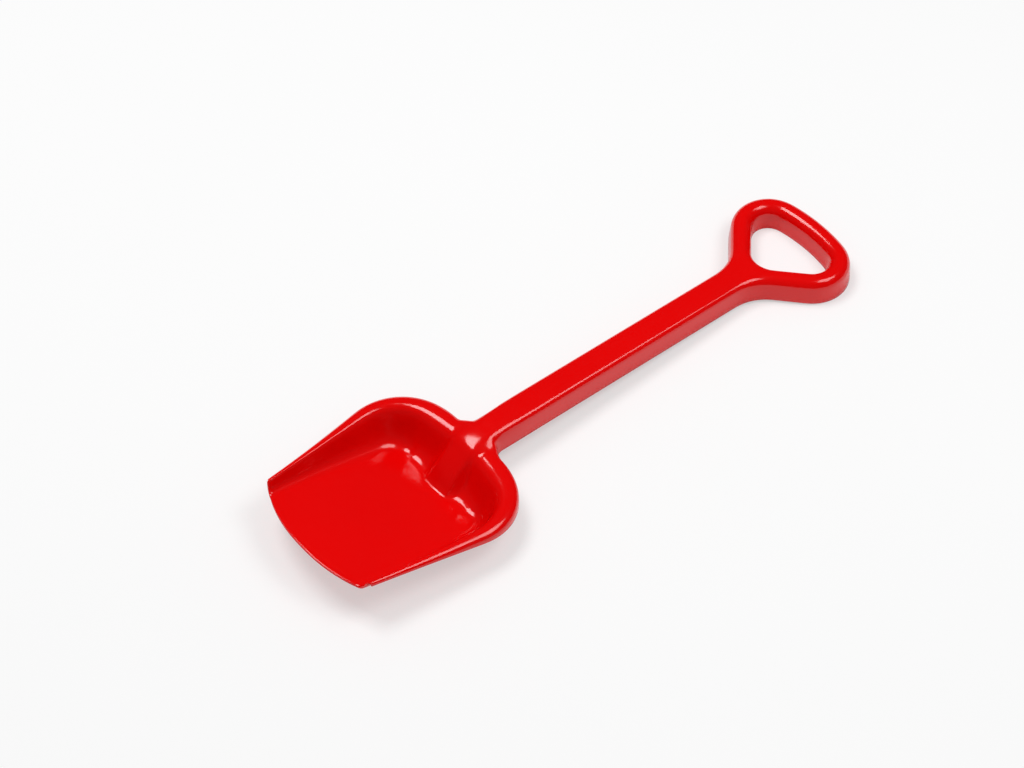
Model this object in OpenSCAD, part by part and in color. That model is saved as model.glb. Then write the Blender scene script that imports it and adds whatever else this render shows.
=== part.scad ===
// Sand shovel, moulded in one colour: a dished blade with a rolled rim, a ridged neck,
// a channel-section shaft and a rounded-triangle hand grip.
// It lies on its heel and on the end of its grip, the way it is left on a table.
// X runs across, Y from the cutting edge to the grip, Z up. Heights are measured from the
// underside of the floor's rear edge, and the whole is then set down on its lowest point.

/* [Blade] */
// Width across the rim at its widest
blade_w = 151.4; // [120:0.2:190]
// Length from the rim's front ends to the back of the heel
blade_l = 147.4; // [125:0.2:190]
// Radius of the two rounded shoulders at the heel
shoulder_r = 46.2; // [44:0.1:56]
// Radius of the heel between the shoulders
heel_r = 157; // [120:1:260]
// Angle at which each side draws in towards the cutting edge, in degrees
side_taper = 9.7; // [4:0.1:14]
// How far the corners of the cutting edge stand ahead of the rim's ends
edge_setback = 3.2; // [1:0.1:8]
// Width of the slanted front end of each side wall
edge_slant_w = 5.5; // [3:0.1:8]
// Bow of the cutting edge between its corners
edge_bow = 12; // [4:0.5:25]
// Slope of the flat floor, up towards the cutting edge, in degrees
floor_pitch = 15.1; // [10:0.1:18]
// Thickness of the moulded wall
wall_t = 1.8; // [1.5:0.1:2.2]

/* [Rim] */
// Height of the rim's crest at the heel
rim_heel_h = 28.5; // [26:0.1:34]
// Height of the rim's crest at its front ends
rim_tip_h = 37.1; // [35:0.1:43]
// How late the rim rises towards its ends: 1 is a straight rise
rim_rise_share = 2.6; // [1:0.1:4]
// Width of the rolled lip at its front ends
lip_tip_w = 4.8; // [4.6:0.1:7]
// Width of the rolled lip at the heel
lip_heel_w = 22; // [14:0.1:24]
// Depth of the lip's outer roll at its front ends
lip_tip_d = 2.4; // [2.3:0.1:3]
// Depth of the lip's outer roll at the heel
lip_heel_d = 6.5; // [5:0.1:8]
// Depth of the rim's outer skirt at its front ends
skirt_tip_h = 3.1; // [3.1:0.1:5]
// Depth of the rim's outer skirt at the heel
skirt_heel_h = 14.9; // [10:0.1:18]

/* [Dish] */
// Reach of the side walls into the blade, as a share of their depth
side_reach_share = 0.9; // [0.7:0.01:1.1]
// Reach of the heel's slope into the blade, as a share of its depth
heel_reach_share = 1.3; // [1.1:0.01:1.4]
// Roundness of the dish just below the lip at its front ends, as a share of the reach
tip_ease_share = 0.2; // [0.1:0.01:0.5]
// Roundness of the dish just below the lip at the heel, as a share of the reach
top_ease_share = 0.5; // [0.2:0.01:0.6]
// Roundness of the dish where it meets the floor, as a share of the reach
floor_ease_share = 0.7; // [0.3:0.01:0.8]

/* [Neck] */
// Length of the neck between the heel and the shaft
neck_l = 18; // [12:0.5:30]
// Plan radius of the fillets between the heel and the shaft
neck_r = 8.5; // [5:0.1:12]
// Height of the ridge's back where it crosses the rim
ridge_rim_h = 31.3; // [29:0.1:36]
// Distance from the heel's back to the top of the ridge's fall into the dish
ridge_top_run = 6; // [4:0.5:16]
// Distance from the heel's back to the nose of the ridge
ridge_nose_run = 46.5; // [35:0.5:48]
// Radius that softens the ridge into the surfaces round it
ridge_blend = 7; // [3:0.1:9]

/* [Shaft] */
// Length of the straight shaft
shaft_l = 218.4; // [120:0.2:320]
// Width of the shaft at its open underside
shaft_w = 26.5; // [22:0.1:32]
// Depth of the shaft's channel
shaft_h = 19.8; // [16:0.1:24]
// Height of the shaft's back at the neck
shaft_neck_h = 32.3; // [30:0.1:36]
// Height of the shaft's back at the grip
shaft_grip_h = 20.9; // [19:0.1:24]
// Radius along each long edge
edge_r = 5; // [3.5:0.1:6]
// Height of the back's crown between the rounded edges
crown_h = 0.7; // [0.3:0.05:1.5]
// Outward draft of the side walls, in degrees
wall_draft = 4; // [1:0.1:6]
// Thickness of the cross ribs
rib_t = 1.6; // [1.2:0.1:2.4]
// Number of cross ribs under the shaft
shaft_ribs_n = 6; // [2:1:10]
// Rise of the ribs' edges above the channel's open edges
rib_rise = 3; // [1:0.1:8]
// Depth of the low rib along the middle of the shaft
spine_h = 6; // [4:0.1:10]

/* [Grip] */
// Length of the grip from the shaft to the back of its bar
grip_l = 104.6; // [98:0.1:125]
// Height of the bar's back
grip_end_h = 20.6; // [18:0.1:24]
// Width across the grip at its open underside
grip_w = 108; // [96:0.2:130]
// Radius of the bar's outer face
bar_r = 149; // [120:1:300]
// Radius of the grip's two outer corners
grip_corner_r = 31.9; // [28:0.1:36]
// Width of the ring at its open underside
ring_w = 18; // [15:0.1:20]
// Angle between each arm and the bar's direction, in degrees
arm_angle = 43.2; // [40:0.1:50]
// Radius at the hand hole's apex
apex_r = 17.4; // [14:0.1:20]
// Plan radius of the fillets between the arms and the shaft, less where they don't fit
crotch_r = 38; // [25:0.1:45]
// How much of the ring's width its two rounded edges take up
ring_round_share = 0.97; // [0.8:0.01:0.98]

/* [Hidden] */
// Facets across the grip's and the shaft's rounded edges and back
edge_n = 6;
back_n = 12;
// Facets of each run of the blade's outline: heel by the neck, heel, shoulder and side
heel_fine_n = back_n / 2 + edge_n;
heel_n = 3;
shoulder_n = 12;
side_n = 10;
bow_n = 10;
// Facets across the lip's roll, the dish and the fillets of the neck
roll_n = 4;
dish_n = 10;
neck_n = 8;
// Facets of each run of the grip's outline
bar_n = 4;
corner_n = 12;
arm_n = 3;
fillet_n = 7;
// Overrun of a cut past the face that it opens
over = 1;
// Slope of the ridge's foot beyond its rounded edge
foot_share = 1.6;
// Shape of the ridge's fall: how round its start and its nose are
fall_ease_share = 0.5;
fall_nose_share = 1.2;
// How fast the skirt and the lip grow from the front ends to the heel
skirt_growth_share = 2.2;
lip_growth_share = 1.2;
// How square the bow of the cutting edge is
bow_share = 2.3;
// Most that the wall takes up of the lip's roll, which is thinner towards the front ends
lip_wall_share = 0.6;
// Places of the cross ribs along each arm, from the bar's corner to the crotch
arm_rib_shares = [0.12, 0.88];
// Colour of the moulding
mould = "#df0101";
$fn = 96;

// Small helpers
function mix(a, b, t) = a + (b - a) * t;
function clamp01(t) = min(1, max(0, t));
function smooth(t) = let (c = clamp01(t)) c * c * (3 - 2 * c);
function smax(a, b, k) = let (d = max(k - abs(a - b), 0)) max(a, b) + d * d / (4 * k);
function unit(v) = v / norm(v);
function flip(v) = [for (i = [len(v) - 1:-1:0]) v[i]];
// Fall of a rounded edge of width w and depth d, at a distance b in from its start
function roll(b, w, d) = let (c = clamp01(1 - b / w)) d * (1 - sqrt(1 - c * c));
// Faces between two equally long rows of point numbers
function strip(a, b, side) = [for (i = [0:len(a) - 2]) each side
    ? [[a[i], a[i + 1], b[i + 1]], [a[i], b[i + 1], b[i]]]
    : [[a[i], b[i + 1], a[i + 1]], [a[i], b[i], b[i + 1]]]];

// Lengths along the shovel, measured from the rim's front ends
shaft_y = blade_l + neck_l;
grip_y = shaft_y + shaft_l;
end_y = grip_y + grip_l;
front_y = -edge_setback - edge_bow;
mid_y = (front_y + end_y) / 2;

// Section of the shaft, with its crown at the origin: a crowned back, two rounded
// edges and two drafted walls. Angles run from across to up.
edge_z = -edge_r - crown_h;
edge_x = shaft_w / 2 - edge_r * cos(wall_draft)
    - (shaft_h + edge_z + edge_r * sin(wall_draft)) * tan(wall_draft);
crown_r = edge_r + (edge_x * edge_x + crown_h * crown_h) / (2 * crown_h);
crown_end = 90 - asin(edge_x / (crown_r - edge_r));
function edge_at(a, inset) = [edge_x + (edge_r - inset) * cos(a), edge_z + (edge_r - inset) * sin(a)];
function back_at(x, inset) = sqrt(pow(crown_r - inset, 2) - x * x) - crown_r;
ridge_w = edge_at(wall_draft, 0)[0];
back_w = edge_at(crown_end, 0)[0];
// Fall of the outer section below its crown, at a distance x from the middle
function section_fall(x) = x <= back_w ? -back_at(x, 0)
    : x <= ridge_w ? -edge_z - sqrt(max(0, edge_r * edge_r - pow(x - edge_x, 2)))
    : -edge_at(wall_draft, 0)[1] + (x - ridge_w) * foot_share;

module section(inset, foot) {
    side = edge_at(wall_draft, inset);
    top = edge_at(crown_end, inset);
    foot_x = side[0] + (side[1] - foot) * tan(wall_draft);
    polygon([[-foot_x, foot], [foot_x, foot], side, top, [-top[0], top[1]], [-side[0], side[1]]]);
    for (s = [-1, 1]) translate([s * edge_x, edge_z]) circle(edge_r - inset);
    intersection() {
        translate([0, -crown_r]) circle(crown_r - inset);
        translate([-top[0], edge_z]) square([2 * top[0], -edge_z]);
    }
}

// Outline of the blade: rows of [x, y, outward normal x, outward normal y]
heel_cy = blade_l - heel_r;
shoulder_x = blade_w / 2 - shoulder_r;
shoulder_y = heel_cy + sqrt(pow(heel_r - shoulder_r, 2) - pow(shoulder_x, 2));
heel_end = atan2(shoulder_x, shoulder_y - heel_cy);
side_end = 90 + side_taper;
flare_x = shaft_w / 2 + neck_r;
fine_end = asin(flare_x / heel_r);
side_top = [shoulder_x + shoulder_r * sin(side_end), shoulder_y + shoulder_r * cos(side_end)];
side_foot = [side_top[0] - side_top[1] * tan(side_taper), 0];
function fine_at(t) = (t + sin(90 * t)) / 2;
half_outline = concat(
    [for (i = [0:heel_fine_n]) let (a = asin(fine_at(i / heel_fine_n) * flare_x / heel_r))
        [heel_r * sin(a), heel_cy + heel_r * cos(a), sin(a), cos(a)]],
    [for (i = [1:heel_n]) let (a = mix(fine_end, heel_end, i / heel_n))
        [heel_r * sin(a), heel_cy + heel_r * cos(a), sin(a), cos(a)]],
    [for (i = [1:shoulder_n]) let (a = mix(heel_end, side_end, i / shoulder_n))
        [shoulder_x + shoulder_r * sin(a), shoulder_y + shoulder_r * cos(a), sin(a), cos(a)]],
    [for (i = [1:side_n]) let (p = mix(side_top, side_foot, i / side_n))
        [p[0], p[1], sin(side_end), cos(side_end)]]);
outline = concat([for (p = flip(half_outline)) [-p[0], p[1], -p[2], p[3]]],
    [for (i = [1:len(half_outline) - 1]) half_outline[i]]);
// Plan line of the cutting edge and of the side walls' front ends
edge_half = side_foot[0] - edge_slant_w;
function front_at(x) = abs(x) <= edge_half
    ? -edge_setback - edge_bow * (1 - pow(abs(x) / edge_half, bow_share))
    : -edge_setback * (side_foot[0] - abs(x)) / edge_slant_w;

// Heights over the blade, above the foot of the dish
floor_y = shoulder_y;
function along(y) = clamp01(y / blade_l);
function rim_h(y) = mix(rim_heel_h, rim_tip_h, pow(1 - along(y), rim_rise_share));
function floor_h(y) = wall_t + (floor_y - y) * tan(floor_pitch);
function to_heel(y) = pow(along(y), lip_growth_share);
function lip_w(y) = mix(lip_tip_w, lip_heel_w, to_heel(y)) / 2;
function lip_d(y) = mix(lip_tip_d, lip_heel_d, to_heel(y));
function ease_share(y) = mix(tip_ease_share, top_ease_share, to_heel(y));
function skirt_h(y) = mix(skirt_tip_h, skirt_heel_h, pow(along(y), skirt_growth_share));

// Ridge that carries the shaft over the rim and down into the dish
ridge_top_y = blade_l - ridge_top_run;
ridge_nose_y = blade_l - ridge_nose_run;
function shaft_top(y) = mix(shaft_neck_h, shaft_grip_h, (y - shaft_y) / shaft_l);
// Share of the fall at a share s of its run: rounded at its start and straight after it
function fall_at(s) = (sqrt(s * s + fall_ease_share * fall_ease_share) - fall_ease_share)
    / (sqrt(1 + fall_ease_share * fall_ease_share) - fall_ease_share);
function ridge_back(y) = y >= ridge_top_y
    ? mix(ridge_rim_h, shaft_top(y), smooth((y - ridge_top_y) / (shaft_y - ridge_top_y)))
    : let (s = clamp01((ridge_top_y - y) / (ridge_top_y - ridge_nose_y)))
        mix(floor_h(ridge_nose_y) - wall_t, ridge_rim_h,
            pow(max(0, 1 - fall_at(s)), 1 / fall_nose_share))
        - max(0, ridge_nose_y - y) * foot_share;
function ridge_h(x, y) = ridge_back(y) - section_fall(abs(x));

// Upper skin of the blade at each place on the outline, from skirt to floor
function bez(a, b, c, d, t) = let (u = 1 - t)
    u * u * u * a + 3 * u * u * t * b + 3 * u * t * t * c + t * t * t * d;
function reach_share(p) = mix(heel_reach_share, side_reach_share, min(1, abs(p[2])));
// Place at a distance a in from the outline; near the front it moves straight across
function inset_xy(p, a) = let (x = p[0] - p[2] * a)
    [x, p[1] - p[3] * a * clamp01(p[1] / side_top[1])
        + front_at(x) * pow(1 - clamp01(p[1] / floor_y), 2)];
function skin_row(p) = let (
        top = rim_h(p[1]), w = lip_w(p[1]), d = lip_d(p[1]),
        reach = (top - floor_h(min(p[1], floor_y))) * reach_share(p),
        foot = w + reach, ease = w + reach * (1 - floor_ease_share),
        q0 = [w, top], q1 = [w + reach * ease_share(p[1]), top],
        q2 = [ease, floor_h(inset_xy(p, ease)[1])], q3 = [foot, floor_h(inset_xy(p, foot)[1])],
        spare = max(0, flare_x - abs(p[0])),
        profile = concat([[0, top - skirt_h(p[1])]],
            [for (k = [0:roll_n]) let (a = w * (1 - cos(90 * k / roll_n)))
                [a, top - roll(a + spare, w, d)]],
            [for (k = [1:dish_n]) bez(q0, q1, q2, q3, k / dish_n)]),
        n = len(profile) - 1)
    [for (k = [0:n]) let (q = profile[k], xy = inset_xy(p, q[0]))
        [xy[0], xy[1], k == 0 ? q[1] : k == n ? floor_h(xy[1])
            : smax(q[1], ridge_h(xy[0], xy[1]), ridge_blend)]];
skin = [for (p = outline) skin_row(p)];
rows = len(skin);
cols = len(skin[0]);
crest = roll_n + 1;

// Lower skin: the upper one moved in by the wall's thickness along its own normals
floor_n = [0, sin(floor_pitch), cos(floor_pitch)];
function skin_normal(i, j) = let (
        du = skin[min(i + 1, rows - 1)][j] - skin[max(i - 1, 0)][j],
        dv = skin[i][min(j + 1, cols - 1)] - skin[i][max(j - 1, 0)])
    j == cols - 1 ? floor_n : j == 0 ? [outline[i][2], outline[i][3], 0] : unit(cross(dv, du));
function lip_t(y) = min(wall_t, lip_wall_share * lip_w(y), lip_wall_share * lip_d(y));
function skin_t(i, j) = mix(lip_t(outline[i][1]), wall_t, clamp01((j - crest) / (cols - 1 - crest)));
under = [for (i = [0:rows - 1]) [for (j = [0:cols - 1]) skin[i][j] - skin_t(i, j) * skin_normal(i, j)]];
lift = -min([for (r = under) for (p = r) p[2]]);

// Closed sheet between an upper and a lower grid of points
module sheet(upper, lower) {
    m = len(upper) - 1;
    n = len(upper[0]);
    low_0 = (m + 1) * n;
    up = [for (i = [0:m]) [for (j = [0:n - 1]) i * n + j]];
    low = [for (i = [0:m]) [for (j = [0:n - 1]) low_0 + i * n + j]];
    polyhedron([for (g = [upper, lower]) for (r = g) each r], concat(
        [for (i = [0:m - 1]) each strip(up[i], up[i + 1], false)],
        [for (i = [0:m - 1]) each strip(low[i], low[i + 1], true)],
        strip([for (i = [0:m]) up[i][0]], [for (i = [0:m]) low[i][0]], false),
        strip([for (i = [0:m]) up[i][n - 1]], [for (i = [0:m]) low[i][n - 1]], true),
        strip(up[0], low[0], true), strip(up[m], low[m], false)), convexity = 6);
}
function columns(grid, a, b) = [for (r = grid) [for (j = [a:b]) r[j]]];

// Moves what is drawn in blade lengths to the shovel's own frame
module placed() { translate([0, -mid_y, lift]) children(); }

// Flat floor between the feet of the dish and the bowed cutting edge
module blade_floor() {
    foot = [for (r = skin) r[cols - 1]];
    half = foot[rows - 1][0];
    bow = [for (i = [1:2 * bow_n - 1]) let (x = half * (1 - i / bow_n)) [x, front_at(x)]];
    color(mould) placed() translate([0, floor_y, wall_t]) rotate([-floor_pitch, 0, 0])
        translate([0, 0, -wall_t]) linear_extrude(wall_t)
            polygon([for (p = concat(foot, bow)) [p[0], (p[1] - floor_y) / cos(floor_pitch)]]);
}

module blade_wall() {
    color(mould) placed() sheet(columns(skin, crest, cols - 1), columns(under, crest, cols - 1));
}

module rim() { color(mould) placed() sheet(columns(skin, 0, crest), columns(under, 0, crest)); }

// Neck: from the rim's outer edge to the shaft's section, with a fillet at each side
neck_cols = [for (i = [-heel_fine_n:heel_fine_n]) i];
flare_y = heel_cy + sqrt(heel_r * heel_r - flare_x * flare_x);
function neck_half(j) = j > neck_n ? shaft_w / 2 : flare_x - neck_r * sin(90 * j / neck_n);
function neck_side_y(j) = j > neck_n ? shaft_y : flare_y + neck_r * (1 - cos(90 * j / neck_n));
function neck_share(j) = (neck_side_y(j) - flare_y) / (shaft_y - flare_y);
function neck_y(j, x) = neck_side_y(j) + (1 - neck_share(j)) * (sqrt(heel_r * heel_r - x * x)
    - sqrt(heel_r * heel_r - flare_x * flare_x));
function neck_foot(j) = mix(rim_h(flare_y) - skirt_h(flare_y), shaft_neck_h - shaft_h, neck_share(j));
// Places of the section's points across the shaft, as shares of its back's half width
function section_share(i) = i < back_n / 2 ? back_w * i / (back_n / 2) / ridge_w
    : edge_at(mix(crown_end, wall_draft, (i - back_n / 2) / edge_n), 0)[0] / ridge_w;
function neck_row(j) = let (
        half = neck_half(j),
        top_half = half - (shaft_w / 2 - ridge_w) * neck_share(j),
        deck = [for (i = neck_cols) let (
                x = sign(i) * top_half
                    * mix(fine_at(abs(i) / heel_fine_n), section_share(abs(i)), neck_share(j)),
                y = neck_y(j, x),
                lip = rim_h(y) - 2 * ridge_blend * neck_share(j)
                    - roll(top_half - abs(x), lip_w(y), lip_d(y)))
            [x, j > neck_n ? shaft_neck_h - section_fall(abs(x)) : smax(lip, ridge_h(x, y), ridge_blend)]])
    concat([[-half, neck_foot(j)]], deck, [[half, neck_foot(j)]]);
neck_sections = [for (j = [0:neck_n + 1]) neck_row(j)];
// The section moved in by the wall's thickness, within its own plane
function moved_in(s) = [for (i = [0:len(s) - 1]) let (
        v = unit(s[min(i + 1, len(s) - 1)] - s[max(i - 1, 0)]))
    i == 0 ? s[i] + [wall_t, 0] : i == len(s) - 1 ? s[i] - [wall_t, 0] : s[i] + wall_t * [v[1], -v[0]]];
module neck() {
    color(mould) placed() sheet(
        [for (j = [0:neck_n + 1]) [for (q = neck_sections[j]) [q[0], neck_y(j, q[0]), q[1]]]],
        [for (j = [0:neck_n + 1]) [for (q = moved_in(neck_sections[j]))
            [q[0], neck_y(j, q[0]), q[1]]]]);
}

// Shaft: a straight channel that falls towards the grip, cut square at both ends
shaft_fall = atan((shaft_neck_h - shaft_grip_h) / shaft_l);
// Draws a section along the shaft, from a distance a to a distance b past the neck
module along_shaft(a, b) {
    translate([0, shaft_y, shaft_neck_h]) rotate([-shaft_fall, 0, 0]) translate([0, b, 0])
        rotate([90, 0, 0]) linear_extrude(b - a) children();
}
module shaft() {
    color(mould) placed() intersection() {
        along_shaft(-shaft_h, shaft_l + shaft_h) difference() {
            section(0, -shaft_h);
            section(wall_t, -shaft_h - over);
        }
        translate([-shaft_w, shaft_y, -shaft_h])
            cube([2 * shaft_w, shaft_l, shaft_neck_h + shaft_h + over]);
    }
}
// Cross ribs that fill the channel's width, joined by a low rib along its middle
rib_pitch = shaft_l / shaft_ribs_n;
module shaft_ribs() {
    color(mould) placed() {
        for (i = [0:shaft_ribs_n - 1]) let (y = (i + 1 / 2) * rib_pitch)
            along_shaft(y - rib_t / 2, y + rib_t / 2) section(wall_t, rib_rise - shaft_h);
        along_shaft(rib_pitch / 2, shaft_l - rib_pitch / 2) intersection() {
            section(wall_t, rib_rise - shaft_h);
            translate([-rib_t / 2, -spine_h]) square([rib_t, spine_h]);
        }
    }
}

// Outline of the grip at its open underside
bar_cy = end_y - bar_r;
corner_x = grip_w / 2 - grip_corner_r;
corner_y = bar_cy + sqrt(pow(bar_r - grip_corner_r, 2) - corner_x * corner_x);
corner = [corner_x, corner_y];
bar_end = asin(corner_x / (bar_r - grip_corner_r));
arm_n_out = [sin(arm_angle), -cos(arm_angle)];
arm_u = [cos(arm_angle), sin(arm_angle)];
hole_corner_r = grip_corner_r - ring_w;
apex_cy = (apex_r - hole_corner_r - arm_n_out * corner) / cos(arm_angle);
// Largest fillet that ends on the grip's side of the shaft
crotch_most = (arm_n_out[0] * shaft_w / 2 - arm_n_out * corner - grip_corner_r
    - cos(arm_angle) * (grip_y + over)) / (1 - arm_n_out[0]);
crotch_fit = min(crotch_r, crotch_most);
crotch_x = shaft_w / 2 + crotch_fit;
crotch_y = (arm_n_out[0] * crotch_x - arm_n_out * corner - grip_corner_r - crotch_fit) / cos(arm_angle);
arm_end = max(arm_u * [crotch_x, crotch_y], apex_cy * sin(arm_angle));
function dir(a) = [sin(a), cos(a)];
// Right half of the outer outline and of the hand hole's: [place, outward normal, how far
// the edge there is rounded as the ring's, and not as the shaft's]
outer_half = concat(
    [for (i = [0:bar_n - 1]) let (v = dir(bar_end * i / bar_n)) [[0, bar_cy] + bar_r * v, v, 1]],
    [for (i = [0:corner_n]) let (v = dir(mix(bar_end, 180 - arm_angle, i / corner_n)))
        [corner + grip_corner_r * v, v, 1]],
    [for (i = [1:arm_n]) [corner + grip_corner_r * arm_n_out
        + arm_u * (arm_end - arm_u * corner) * i / arm_n, arm_n_out, 1]],
    [for (i = [1:fillet_n]) let (v = dir(mix(180 - arm_angle, 90, i / fillet_n)))
        [[crotch_x, crotch_y] - crotch_fit * v, v, 1 - smooth(i / (fillet_n + 1))]],
    [[[shaft_w / 2, grip_y], [1, 0], 0]]);
hole_half = concat(
    [for (i = [0:bar_n - 1]) let (v = dir(bar_end * i / bar_n))
        [[0, bar_cy] + (bar_r - ring_w) * v, -v, 1]],
    [for (i = [0:corner_n]) let (v = dir(mix(bar_end, 180 - arm_angle, i / corner_n)))
        [corner + hole_corner_r * v, -v, 1]],
    [for (i = [1:arm_n]) [corner + hole_corner_r * arm_n_out
        + arm_u * (arm_end - arm_u * corner) * i / arm_n, -arm_n_out, 1]],
    [for (i = [1:fillet_n + 1]) let (v = dir(mix(180 - arm_angle, 180, i / (fillet_n + 1))))
        [[0, apex_cy] + apex_r * v, -v, 1]]);
function both(half) = concat([for (p = flip(half)) [[-p[0][0], p[0][1]], [-p[1][0], p[1][1]], p[2]]],
    [for (i = [1:len(half) - 1]) half[i]]);

// Heights of the grip's back and of its open edges; the bar's edges lie level
function grip_top(y) = mix(shaft_grip_h, grip_end_h - lift, (y - grip_y) / grip_l);
function grip_foot(y) = mix(shaft_grip_h - shaft_h / cos(shaft_fall), -lift,
    clamp01((y - grip_y) / (grip_l - ring_w)));
// Radius of the ring's rounded edges, which leave a narrow flat along the middle of its back
ring_r = (ring_round_share * ring_w / 2 - shaft_h * tan(wall_draft))
    / (cos(wall_draft) - tan(wall_draft) * (1 - sin(wall_draft)));
// Step k up the ring's side, where its rounding is t: [move into the ring, fall below the back]
function ring_step(k, inset, t) = let (
        r = mix(edge_r, ring_r, t), c = crown_h * (1 - t),
        a = mix(wall_draft, mix(crown_end, 90, t), (k - 1) / edge_n),
        run = r * cos(wall_draft) + (shaft_h - c - r + r * sin(wall_draft)) * tan(wall_draft))
    k == 0 ? [inset / cos(wall_draft), 0] : [run - (r - inset) * cos(a), c + r - (r - inset) * sin(a)];
function ring_level(half, inset, k) = [for (p = both(half)) let (
        q = ring_step(k, inset, p[2]), xy = p[0] - q[0] * p[1])
    [xy[0], xy[1], k == 0 ? grip_foot(xy[1]) : grip_top(xy[1]) - q[1]]];
// One skin of the grip, as rows of points: up its outside, its back's end, down its hole
function grip_skin(inset) = [
    [for (k = [0:edge_n + 1]) ring_level(outer_half, inset, k)],
    [for (k = [0:edge_n + 1]) ring_level(hole_half, inset, k)],
    [for (i = [1:back_n - 1]) let (x = edge_at(crown_end, inset)[0] * (2 * i / back_n - 1))
        [x, grip_y, shaft_grip_h + back_at(x, inset)]]];
module grip() {
    skins = [grip_skin(0), grip_skin(wall_t)];
    n = len(skins[0][0][0]);
    levels = edge_n + 2;
    hole_0 = levels * n;
    back_0 = hole_0 + levels * (n - 1);
    skin_0 = back_0 + back_n - 1;
    // Point numbers: outer rows run open from shaft to shaft, hole rows close on themselves
    outer = [for (s = [0, 1]) [for (k = [0:levels - 1]) [for (i = [0:n - 1]) s * skin_0 + k * n + i]]];
    hole = [for (s = [0, 1]) [for (k = [0:levels - 1])
        [for (i = [0:n - 1]) s * skin_0 + hole_0 + k * (n - 1) + i % (n - 1)]]];
    back = [for (s = [0, 1]) [for (i = [0:back_n - 2]) s * skin_0 + back_0 + i]];
    arch = [for (s = [0, 1]) concat([for (k = [0:levels - 1]) outer[s][k][0]], back[s],
        [for (k = [levels - 1:-1:0]) outer[s][k][n - 1]])];
    line = [for (s = [0, 1]) concat([outer[s][levels - 1][0]], back[s], [outer[s][levels - 1][n - 1]])];
    color(mould) placed() polyhedron(
        [for (s = skins) each concat([for (r = s[0]) each r],
            [for (r = s[1]) each [for (i = [0:n - 2]) r[i]]], s[2])],
        concat(
            [for (k = [0:levels - 2]) each strip(outer[0][k], outer[0][k + 1], true)],
            [for (k = [0:levels - 2]) each strip(outer[1][k], outer[1][k + 1], false)],
            [for (k = [0:levels - 2]) each strip(hole[0][k], hole[0][k + 1], false)],
            [for (k = [0:levels - 2]) each strip(hole[1][k], hole[1][k + 1], true)],
            strip(outer[0][levels - 1], hole[0][levels - 1], true),
            strip(outer[1][levels - 1], hole[1][levels - 1], false),
            [for (i = [0:back_n - 1]) [line[0][i], hole[0][levels - 1][0], line[0][i + 1]]],
            [for (i = [0:back_n - 1]) [line[1][i], line[1][i + 1], hole[1][levels - 1][0]]],
            strip(outer[0][0], outer[1][0], false), strip(hole[0][0], hole[1][0], true),
            strip(arch[0], arch[1], true)), convexity = 8);
}

// Cross rib in the ring: p is on the outer outline, v points out and u along the ring
module ring_rib(p, v, u) {
    steps = [for (k = [0:edge_n + 1]) ring_step(k, wall_t, 1)];
    foot_z = grip_foot(p[1] - v[1] * ring_w / 2) + rib_rise;
    side_z = grip_top(p[1]) - steps[1][1];
    foot_e = mix(steps[0][0], steps[1][0], (rib_rise) / (side_z - grip_foot(p[1])));
    half = [for (k = [0:edge_n + 1]) k == 0 ? foot_e : steps[k][0]];
    profile = concat([for (k = [0:edge_n + 1]) [half[k], k]],
        [for (k = [edge_n + 1:-1:0]) [ring_w - half[k], k]]);
    m = len(profile);
    polyhedron([for (s = [-1, 1]) for (q = profile) let (xy = p - v * q[0] + u * s * rib_t / 2,
            on = p - v * q[0])
        [xy[0], xy[1], q[1] == 0 ? foot_z : grip_top(on[1]) - steps[q[1]][1]]],
        concat([[for (i = [0:m - 1]) m - 1 - i], [for (i = [0:m - 1]) m + i]],
            [for (i = [0:m - 1]) [i, (i + 1) % m, m + (i + 1) % m, m + i]]), convexity = 4);
}
module grip_ribs() {
    color(mould) placed() {
        ring_rib([0, end_y], [0, 1], [-1, 0]);
        for (t = arm_rib_shares, s = [-1, 1]) let (
                p = corner + grip_corner_r * arm_n_out + arm_u * (arm_end - arm_u * corner) * t)
            ring_rib([s * p[0], p[1]], [s * arm_n_out[0], arm_n_out[1]], [arm_u[0], s * arm_u[1]]);
    }
}

blade_floor();
blade_wall();
rim();
neck();
shaft();
shaft_ribs();
grip();
grip_ribs();
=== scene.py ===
import math

import bmesh
import bpy
from bpy.props import FloatProperty, FloatVectorProperty, IntProperty, PointerProperty
from mathutils import Euler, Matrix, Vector


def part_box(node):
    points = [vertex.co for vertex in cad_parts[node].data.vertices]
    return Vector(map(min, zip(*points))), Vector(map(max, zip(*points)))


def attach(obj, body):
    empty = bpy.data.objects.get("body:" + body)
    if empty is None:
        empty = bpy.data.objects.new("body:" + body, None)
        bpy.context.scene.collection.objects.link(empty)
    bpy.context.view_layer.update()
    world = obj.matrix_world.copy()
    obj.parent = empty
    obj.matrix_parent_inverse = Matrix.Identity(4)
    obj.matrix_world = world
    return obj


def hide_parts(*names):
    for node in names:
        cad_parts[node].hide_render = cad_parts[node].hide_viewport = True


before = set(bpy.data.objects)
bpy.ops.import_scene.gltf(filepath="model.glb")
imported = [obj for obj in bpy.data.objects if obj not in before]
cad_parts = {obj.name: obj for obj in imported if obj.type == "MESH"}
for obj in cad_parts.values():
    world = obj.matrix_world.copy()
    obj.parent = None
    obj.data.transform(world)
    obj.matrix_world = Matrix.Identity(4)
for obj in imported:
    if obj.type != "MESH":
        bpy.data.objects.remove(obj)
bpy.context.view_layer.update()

bl_info = {
    "name": "Sand shovel",
    "version": (1, 0, 0),
    "blender": (4, 5, 0),
    "location": "View3D > Sidebar > Sand shovel",
    "description": "Dresses a moulded sand shovel: smooth skin, glossy plastic, plain studio",
    "category": "Object",
}

# The regions of the moulding, from the cutting edge to the grip; each becomes one piece
REGIONS = ("blade_floor", "blade_wall", "rim", "neck", "shaft", "grip")
FLOOR, WALL, RIM, NECK, SHAFT, GRIP = range(len(REGIONS))

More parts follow.
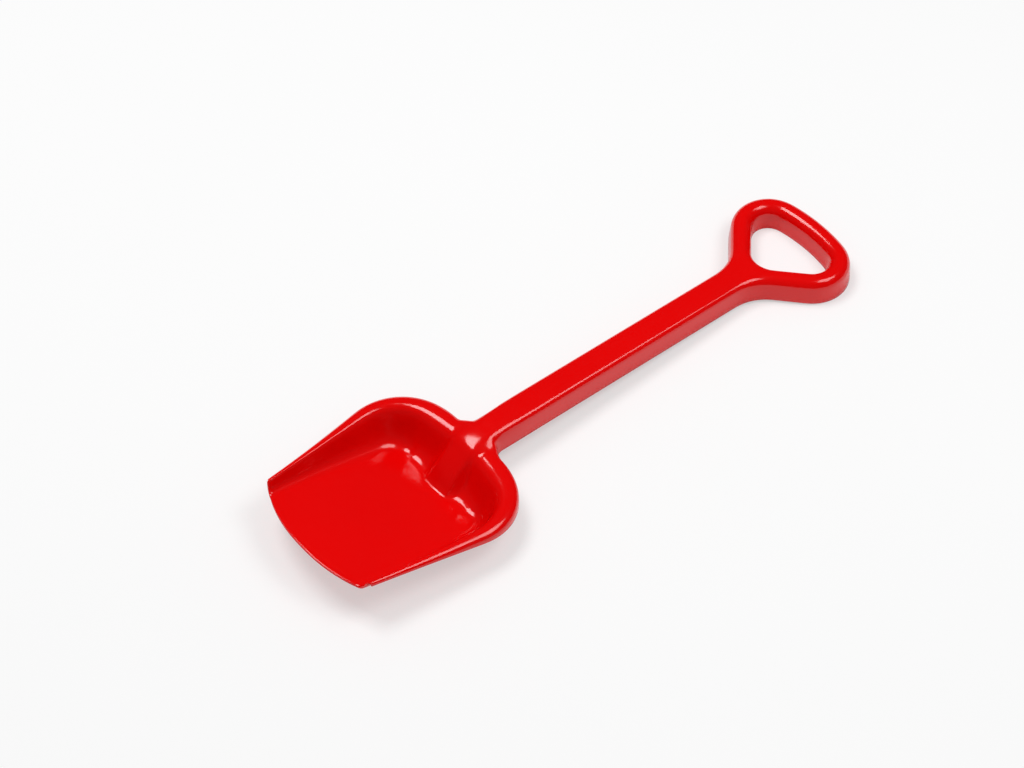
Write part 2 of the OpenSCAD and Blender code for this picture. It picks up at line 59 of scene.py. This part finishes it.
SPECK = 1e-5  # metres: points closer than this are one point
LENGTHWISE = 0.05  # metres: an edge that runs further along the shovel runs along the shaft
LEVEL = 0.6  # least height of a level face's unit normal
EDGE_TURN = 50  # degrees: where the skin turns outwards by more, it has an edge
ANY_TURN = 180  # degrees: no edge turns by more
COPLANAR = 1  # degrees: faces that turn by less are one flat face

# How the rim's skirt is drawn in under the neck
TUCK_WIDTH, TUCK_HEIGHT = 0.92, 0.85  # the shares of its width and height that stay
TUCK_DEPTH = 0.0012  # metres that it moves towards the cutting edge

TABLE_WHITES = (0.94, 0.94, 0.94), (0.95, 0.95, 0.95)  # the darkest and the palest of its grain
SENSOR_WIDTH = 36.0  # millimetres
VIEW_DEPTH = 50.0  # metres that the camera sees


# Settings

class ShovelSizes(bpy.types.PropertyGroup):
    """Sizes of the moulding that its skin is smoothed by."""

    heel_radius: FloatProperty(
        name="Heel radius", description="Plan radius of the back of the blade",
        default=0.157, unit="LENGTH")
    floor_margin: FloatProperty(
        name="Floor margin", description="Width of the band that leads the floor into the walls",
        default=0.004, unit="LENGTH")
    edge_crease: FloatProperty(
        name="Edge crease", description="Sharpness of the moulding's thin edges",
        default=0.55, min=0.0, max=1.0, subtype="FACTOR")
    shaft_bands: IntProperty(
        name="Shaft bands", description="Number of bands along the shaft before it is rounded",
        default=50, min=2)
    rib_round: FloatProperty(
        name="Rib edges", description="Width of the rounding along the ribs' edges",
        default=0.0002, unit="LENGTH")


class ShovelPlastic(bpy.types.PropertyGroup):
    """Look of the moulded plastic."""

    colour: FloatVectorProperty(
        name="Colour", description="Colour of the plastic, right through",
        subtype="COLOR", size=3, min=0.0, max=1.0, default=(0.80, 0.0004, 0.0004))
    deep_colour: FloatVectorProperty(
        name="Deep colour", description="Colour where the pigment has flowed more densely",
        subtype="COLOR", size=3, min=0.0, max=1.0, default=(0.73, 0.0003, 0.0004))
    roughness: FloatProperty(
        name="Roughness", description="Roughness of the polished mould's surface",
        default=0.12, min=0.0, max=1.0, subtype="FACTOR")
    ior: FloatProperty(
        name="IOR", description="Refractive index, which sets the strength of the gloss",
        default=1.5, min=1.0, max=2.0)
    scuff: FloatProperty(
        name="Scuffs", description="How much handling dulls the gloss in places",
        default=0.06, min=0.0, max=1.0, subtype="FACTOR")
    ripple: FloatProperty(
        name="Ripple", description="Depth of the faint waves left by the mould",
        default=0.000006, unit="LENGTH")


class StudioLook(bpy.types.PropertyGroup):
    """Camera, table and lights."""

    camera_place: FloatVectorProperty(
        name="Camera", description="Place of the camera", subtype="TRANSLATION", size=3,
        unit="LENGTH", default=(0.941, -0.84594, 1.5463))
    camera_turn: FloatVectorProperty(
        name="Turn", description="Turn of the camera", subtype="EULER", size=3,
        default=(math.radians(39.5531), 0.0, math.radians(50.1829)))
    lens: FloatProperty(
        name="Lens", description="Focal length on a 36 mm sensor", default=94.598,
        unit="CAMERA")
    lamp_distance: FloatProperty(
        name="Lamps", description="Distance of the softboxes", default=2.5, unit="LENGTH")
    left_glow: FloatProperty(
        name="Left", description="Brightness of the left softbox", default=9.5)
    right_glow: FloatProperty(
        name="Right", description="Brightness of the right softbox", default=5.5)
    room: FloatProperty(
        name="Room", description="Brightness of the room's even light", default=0.36)
    room_in_gloss: FloatProperty(
        name="Room in gloss", description="Brightness of the room in reflections", default=0.02)
    table_reach: FloatProperty(
        name="Table", description="Distance from the table's middle to each of its sides",
        default=6.0, unit="LENGTH")
    table_glow: FloatProperty(
        name="Table glow", description="How much of the table's shadow its own light fills",
        default=0.5, min=0.0, max=1.0, subtype="FACTOR")


# Shader maths

class Wire:
    """A shader socket that takes Python's arithmetic."""

    def __init__(self, sheet, socket):
        self.sheet, self.socket = sheet, socket

    def _math(self, kind, *terms):
        return self.sheet.node(
            "ShaderNodeMath", {"operation": kind}, dict(enumerate(terms)))["Value"]

    def __add__(self, other):
        return self._math("ADD", self, other)

    def __mul__(self, other):
        return self._math("MULTIPLY", self, other)

    def __sub__(self, other):
        return self._math("SUBTRACT", self, other)

    def __rsub__(self, other):
        return self._math("SUBTRACT", other, self)

    __radd__ = __add__
    __rmul__ = __mul__


class NodeSheet:
    """The nodes of a material or a world."""

    def __init__(self, owner):
        self.owner = owner
        owner.use_nodes = True
        self.tree = owner.node_tree
        self.tree.nodes.clear()

    def node(self, kind, settings=None, inputs=None):
        """Adds a node with these settings, values and links, and returns its outputs by name."""
        node = self.tree.nodes.new(kind)
        for key, value in (settings or {}).items():
            setattr(node, key, value)
        for key, value in (inputs or {}).items():
            if isinstance(value, Wire):
                self.tree.links.new(value.socket, node.inputs[key])
            else:
                node.inputs[key].default_value = value
        return {out.name: Wire(self, out) for out in node.outputs if out.enabled}

    def noise(self, scale, detail, roughness=0.5):
        """Noise fixed to the object, with about so many waves to the metre."""
        place = self.node("ShaderNodeTexCoord")["Object"]
        return self.node("ShaderNodeTexNoise", {"noise_dimensions": "3D"}, {
            "Vector": place, "Scale": scale, "Detail": detail, "Roughness": roughness})["Fac"]

    def shade(self, factor, low, high):
        """A colour that moves from one to another as the factor goes from 0 to 1."""
        return self.node("ShaderNodeMix", {"data_type": "RGBA"}, {
            "Factor": factor, "A": (*low, 1.0), "B": (*high, 1.0)})["Result"]

    def surface(self, wire, output="ShaderNodeOutputMaterial"):
        """Makes this wire the surface, and returns the finished material or world."""
        self.node(output, None, {"Surface": wire})
        return self.owner


def moulded_plastic(plastic, name="Moulded red plastic"):
    """Glossy through-coloured plastic: dense gloss, faint mould ripple, light scuffs."""
    sheet = NodeSheet(bpy.data.materials.new(name))
    flow = sheet.noise(scale=14.0, detail=2.0)
    scuffs = sheet.noise(scale=90.0, detail=5.0, roughness=0.65)
    ripple = sheet.noise(scale=170.0, detail=1.0, roughness=0.4)
    bump = sheet.node("ShaderNodeBump", None, {
        "Height": ripple, "Distance": plastic.ripple, "Strength": 1.0})["Normal"]
    return sheet.surface(sheet.node("ShaderNodeBsdfPrincipled", None, {
        "Base Color": sheet.shade(flow, plastic.deep_colour, plastic.colour),
        "Roughness": scuffs * scuffs * plastic.scuff + plastic.roughness,
        "IOR": plastic.ior,
        "Normal": bump,
    })["BSDF"])


# The moulding's skin

def weld_regions():
    """The CAD's regions but the shaft, welded into one bmesh, with the region on each face."""
    skin = bmesh.new()
    for index, name in enumerate(REGIONS):
        if index == SHAFT:
            continue
        count = len(skin.faces)
        skin.from_mesh(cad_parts[name].data)
        skin.faces.ensure_lookup_table()
        for face in skin.faces[count:]:
            face.material_index = index
    bmesh.ops.remove_doubles(skin, verts=skin.verts, dist=SPECK)
    skin.normal_update()
    return skin


def heel_test(radius):
    """A test for points on the arc of the blade's back."""
    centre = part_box("rim")[1].y - radius
    return lambda vert: abs(math.hypot(vert.co.x, vert.co.y - centre) - radius) < 2 * SPECK


def lies_at(item, y):
    """Whether an edge or a face lies across the shovel at this place along it."""
    return all(abs(v.co.y - y) < SPECK for v in item.verts)


def shared_regions(face):
    """The regions that reach every corner of this face."""
    return set.intersection(*({f.material_index for f in v.link_faces} for v in face.verts))


def hidden_joints(skin, on_heel):
    """Faces inside the wall where two regions meet, which the one moulding doesn't have."""
    neck_end, grip_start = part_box("neck")[1].y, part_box("grip")[0].y
    tests = {
        FLOOR: lambda face: WALL in shared_regions(face) and abs(face.normal.z) < LEVEL,
        WALL: lambda face: shared_regions(face) & {FLOOR, RIM},
        RIM: lambda face: WALL in shared_regions(face),
        NECK: lambda face: all(on_heel(v) for v in face.verts) or lies_at(face, neck_end),
        GRIP: lambda face: lies_at(face, grip_start),
    }
    return [face for face in skin.faces if tests[face.material_index](face)]


def tuck_bulkhead(skin, on_heel):
    """Parts the rim's skirt under the neck from the skin, and draws it in to stay hidden."""
    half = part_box("neck")[1].x + SPECK
    faces = [f for f in skin.faces if f.material_index == RIM
             and all(on_heel(v) and abs(v.co.x) < half for v in f.verts)]
    skirt = [v for v in bmesh.ops.split(skin, geom=faces)["geom"]
             if isinstance(v, bmesh.types.BMVert)]
    foot = min(v.co.z for v in skirt)
    for v in skirt:
        v.co = (TUCK_WIDTH * v.co.x, v.co.y - TUCK_DEPTH, foot + TUCK_HEIGHT * (v.co.z - foot))


def open_loop(skin, y):
    """The open edges that lie across the shovel at this place along it."""
    return [e for e in skin.edges if len(e.link_faces) == 1 and lies_at(e, y)]


def bridge_shaft(skin, bands):
    """Makes the shaft, as so many bands between the open ends of the neck and the grip."""
    ends = open_loop(skin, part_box("neck")[1].y) + open_loop(skin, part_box("grip")[0].y)
    strips = bmesh.ops.bridge_loops(skin, edges=ends)["faces"]
    for face in strips:
        face.material_index = SHAFT
    along = dict.fromkeys(e for f in strips for e in f.edges
                          if abs(e.verts[0].co.y - e.verts[1].co.y) > LENGTHWISE)
    bmesh.ops.subdivide_edges(skin, edges=list(along), cuts=bands - 1)


def border_floor(skin, margin):
    """Makes each side of the floor one face, in a band that leads it into the walls."""
    for up in (1, -1):
        side = [f for f in skin.faces
                if f.material_index == FLOOR and f.normal.z * up > LEVEL]
        plate = bmesh.ops.dissolve_faces(skin, faces=side, use_verts=False)["region"]
        bmesh.ops.inset_region(skin, faces=plate, thickness=margin,
                               use_even_offset=True, use_boundary=True)


def join_quads(skin):
    """Joins the CAD's triangles in pairs, so that the skin subdivides evenly."""
    triangles = [f for f in skin.faces if len(f.verts) == 3]
    bmesh.ops.join_triangles(
        skin, faces=triangles, angle_face_threshold=math.radians(EDGE_TURN),
        angle_shape_threshold=math.radians(ANY_TURN), cmp_materials=True)


def is_sharp(edge, turn=EDGE_TURN):
    """Whether the skin ends at this edge, or turns outwards by more than so many degrees."""
    return len(edge.link_faces) != 2 or (
        edge.is_convex and edge.calc_face_angle(0.0) > math.radians(turn))


def relax_neck(skin, wide, fore, aft, lift, rounds, turn):
    """Relaxes the skin in a box round the neck's end, where the CAD's fillets have small bumps.

    The box is so many of the neck's half widths to each side, so many metres towards the blade
    and the grip, and starts so far above the neck's foot. What is_sharp finds stays in place.
    """
    low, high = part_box("neck")
    reach = wide * high.x
    loose = [v for v in skin.verts
             if abs(v.co.x) < reach and high.y - fore < v.co.y < high.y + aft
             and v.co.z > low.z + lift and not any(is_sharp(e, turn) for e in v.link_edges)]
    for _ in range(rounds):
        bmesh.ops.smooth_vert(skin, verts=loose, factor=0.5,
                              use_axis_x=True, use_axis_y=True, use_axis_z=True)


def crease_edges(skin, sharpness):
    """Keeps the moulding's thin edges crisp when the skin is subdivided."""
    crease = skin.edges.layers.float.new("crease_edge")
    for edge in skin.edges:
        if len(edge.link_faces) == 2 and is_sharp(edge):
            edge[crease] = sharpness


def subdivided(skin):
    """The skin's mesh after two subdivisions; its bmesh is freed."""
    for face in skin.faces:
        face.smooth = True
    mesh = bpy.data.meshes.new("moulding_cage")
    skin.to_mesh(mesh)
    skin.free()
    cage = bpy.data.objects.new("moulding_cage", mesh)
    bpy.context.scene.collection.objects.link(cage)
    rounding = cage.modifiers.new("Rounding", "SUBSURF")
    rounding.levels = rounding.render_levels = 2
    smooth = bpy.data.meshes.new_from_object(
        cage.evaluated_get(bpy.context.evaluated_depsgraph_get()))
    bpy.data.objects.remove(cage)
    bpy.data.meshes.remove(mesh)
    return smooth


def smooth_moulding(sizes):
    """The moulding as one smooth mesh, with each face's region in its material index."""
    skin = weld_regions()
    on_heel = heel_test(sizes.heel_radius)
    bmesh.ops.delete(skin, geom=hidden_joints(skin, on_heel), context="FACES")
    tuck_bulkhead(skin, on_heel)
    bridge_shaft(skin, sizes.shaft_bands)
    border_floor(skin, sizes.floor_margin)
    join_quads(skin)
    # First the whole joint, feet and all, with its edges kept, and then the ridge's shoulders
    relax_neck(skin, wide=1.6, fore=0.055, aft=0.02, lift=-1.0, rounds=2, turn=EDGE_TURN)
    relax_neck(skin, wide=1.2, fore=0.03, aft=0.008, lift=0.0075, rounds=8, turn=ANY_TURN)
    crease_edges(skin, sizes.edge_crease)
    return subdivided(skin)


def stand_for(name, mesh, finish):
    """A finished mesh as the piece that replaces the CAD node of this name."""
    mesh.materials.append(finish)
    piece = bpy.data.objects.new(name + "_skin", mesh)
    bpy.context.scene.collection.objects.link(piece)
    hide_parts(name)
    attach(piece, "root")
    return piece


def region_piece(smooth, index, finish):
    """Makes one region of the smooth mesh a piece of its own, with the whole mesh's normals."""
    normals = [tuple(smooth.corner_normals[corner].vector)
               for face in smooth.polygons if face.material_index == index
               for corner in face.loop_indices]
    part = bmesh.new()
    part.from_mesh(smooth)
    bmesh.ops.delete(part, geom=[f for f in part.faces if f.material_index != index],
                     context="FACES")
    mesh = bpy.data.meshes.new(REGIONS[index] + "_skin")
    part.to_mesh(mesh)
    part.free()
    for face in mesh.polygons:
        face.material_index = 0
    mesh.normals_split_custom_set(normals)
    stand_for(REGIONS[index], mesh, finish)


def rib_piece(name, width, finish):
    """Makes a piece of a CAD node's ribs, with their edges rounded over this width."""
    ribs = bmesh.new()
    ribs.from_mesh(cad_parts[name].data)
    bmesh.ops.remove_doubles(ribs, verts=ribs.verts, dist=SPECK)
    bmesh.ops.dissolve_limit(ribs, angle_limit=math.radians(COPLANAR), verts=ribs.verts,
                             edges=ribs.edges)
    mesh = bpy.data.meshes.new(name + "_skin")
    ribs.to_mesh(mesh)
    ribs.free()
    piece = stand_for(name, mesh, finish)
    soft = piece.modifiers.new("Soft edges", "BEVEL")
    soft.width = width
    soft.segments = 2
    soft.limit_method = "ANGLE"
    soft.angle_limit = math.radians(EDGE_TURN)


class SHOVEL_OT_moulding(bpy.types.Operator):
    """Make the smooth skin of the blade, neck, shaft and grip"""

    bl_idname = "shovel.moulding"
    bl_label = "Moulding"

    def execute(self, context):
        finish = moulded_plastic(context.scene.shovel_plastic)
        smooth = smooth_moulding(context.scene.shovel_sizes)
        for index in range(len(REGIONS)):
            region_piece(smooth, index, finish)
        bpy.data.meshes.remove(smooth)
        return {"FINISHED"}


class SHOVEL_OT_ribs(bpy.types.Operator):
    """Make the ribs on the hidden underside, with their edges rounded"""

    bl_idname = "shovel.ribs"
    bl_label = "Ribs"

    def execute(self, context):
        finish = moulded_plastic(context.scene.shovel_plastic, "Moulded red plastic, ribs")
        for name in ("shaft_ribs", "grip_ribs"):
            rib_piece(name, context.scene.shovel_sizes.rib_round, finish)
        return {"FINISHED"}


# The studio

def softbox(name, studio, azimuth, height, size, glow):
    """Adds a lamp that faces the shovel, at an azimuth and a height in degrees.

    The azimuth is 0 beyond the shovel as the camera sees it, and from above it grows clockwise.
    """
    lamp = bpy.data.lights.new(name, "AREA")
    lamp.shape = "RECTANGLE"
    lamp.size, lamp.size_y = size
    lamp.energy = glow * size[0] * size[1] * math.pi
    turn, rise = math.radians(azimuth) - studio.camera_turn[2], math.radians(height)
    place = studio.lamp_distance * Vector(
        (math.sin(turn) * math.cos(rise), math.cos(turn) * math.cos(rise), math.sin(rise)))
    holder = bpy.data.objects.new(name, lamp)
    holder.location = place
    holder.rotation_euler = (-place).to_track_quat("-Z", "Y").to_euler()
    bpy.context.scene.collection.objects.link(holder)


def white_matt(studio):
    """A matt white with a faint grain; the camera sees its shadows lightened."""
    sheet = NodeSheet(bpy.data.materials.new("Pale table"))
    colour = sheet.shade(sheet.noise(scale=4.0, detail=2.0), *TABLE_WHITES)
    matt = sheet.node("ShaderNodeBsdfPrincipled", None, {
        "Base Color": colour, "Roughness": 0.7, "Specular IOR Level": 0.0})["BSDF"]
    glow = sheet.node("ShaderNodeEmission", None, {"Color": colour})["Emission"]
    seen = sheet.node("ShaderNodeLightPath")["Is Camera Ray"] * studio.table_glow
    return sheet.surface(
        sheet.node("ShaderNodeMixShader", None, {0: seen, 1: matt, 2: glow})["Shader"])


def pale_table(studio):
    """Adds the table top that the shovel lies on."""
    grid = bmesh.new()
    bmesh.ops.create_grid(grid, x_segments=2, y_segments=2, size=studio.table_reach)
    mesh = bpy.data.meshes.new("table")
    grid.to_mesh(mesh)
    grid.free()
    mesh.materials.append(white_matt(studio))
    table = bpy.data.objects.new("table", mesh)
    bpy.context.scene.collection.objects.link(table)


def studio_room(studio):
    """A room that lights the table evenly and that the gloss sees as dim."""
    sheet = NodeSheet(bpy.data.worlds.new("Studio"))
    gloss = sheet.node("ShaderNodeLightPath")["Is Glossy Ray"]
    strength = (1 - gloss) * (studio.room - studio.room_in_gloss) + studio.room_in_gloss
    return sheet.surface(sheet.node("ShaderNodeBackground", None, {
        "Color": (1.0, 1.0, 1.0, 1.0), "Strength": strength})["Background"],
        "ShaderNodeOutputWorld")


def photo_camera(studio):
    """The camera, where the photograph was taken from."""
    camera = bpy.data.cameras.new("Camera")
    camera.sensor_width = SENSOR_WIDTH
    camera.lens = studio.lens
    camera.clip_end = VIEW_DEPTH
    holder = bpy.data.objects.new("Camera", camera)
    holder.location = studio.camera_place
    holder.rotation_euler = Euler(studio.camera_turn, "XYZ")
    bpy.context.scene.collection.objects.link(holder)
    return holder


class SHOVEL_OT_stage(bpy.types.Operator):
    """Make the table, the lamps and the camera"""

    bl_idname = "shovel.stage"
    bl_label = "Stage"

    def execute(self, context):
        scene = context.scene
        studio = scene.shovel_studio
        pale_table(studio)
        softbox("Left softbox", studio, azimuth=-60, height=68, size=(1.15, 0.88),
                glow=studio.left_glow)
        softbox("Right softbox", studio, azimuth=92, height=60, size=(1.15, 1.0),
                glow=studio.right_glow)
        scene.world = studio_room(studio)
        scene.view_settings.view_transform = "Standard"
        scene.camera = photo_camera(studio)
        return {"FINISHED"}


class SHOVEL_PT_panel(bpy.types.Panel):
    """Lists the settings and the steps that make the shovel and its studio"""

    bl_label = "Sand shovel"
    bl_idname = "SHOVEL_PT_panel"
    bl_space_type = "VIEW_3D"
    bl_region_type = "UI"
    bl_category = "Sand shovel"

    def draw(self, context):
        scene = context.scene
        for group in (scene.shovel_sizes, scene.shovel_plastic, scene.shovel_studio):
            box = self.layout.box()
            for name in group.__annotations__:
                box.prop(group, name)
        for step in STEPS:
            self.layout.operator(step.bl_idname)


STEPS = (SHOVEL_OT_stage, SHOVEL_OT_moulding, SHOVEL_OT_ribs)
CLASSES = (ShovelSizes, ShovelPlastic, StudioLook, SHOVEL_PT_panel) + STEPS


def register():
    for kind in CLASSES:
        bpy.utils.register_class(kind)
    bpy.types.Scene.shovel_sizes = PointerProperty(type=ShovelSizes)
    bpy.types.Scene.shovel_plastic = PointerProperty(type=ShovelPlastic)
    bpy.types.Scene.shovel_studio = PointerProperty(type=StudioLook)


def unregister():
    del bpy.types.Scene.shovel_studio
    del bpy.types.Scene.shovel_plastic
    del bpy.types.Scene.shovel_sizes
    for kind in reversed(CLASSES):
        bpy.utils.unregister_class(kind)


def main():
    """Makes the studio and the shovel."""
    register()
    bpy.ops.shovel.stage()
    bpy.ops.shovel.moulding()
    bpy.ops.shovel.ribs()


if __name__ == "__main__":
    main()
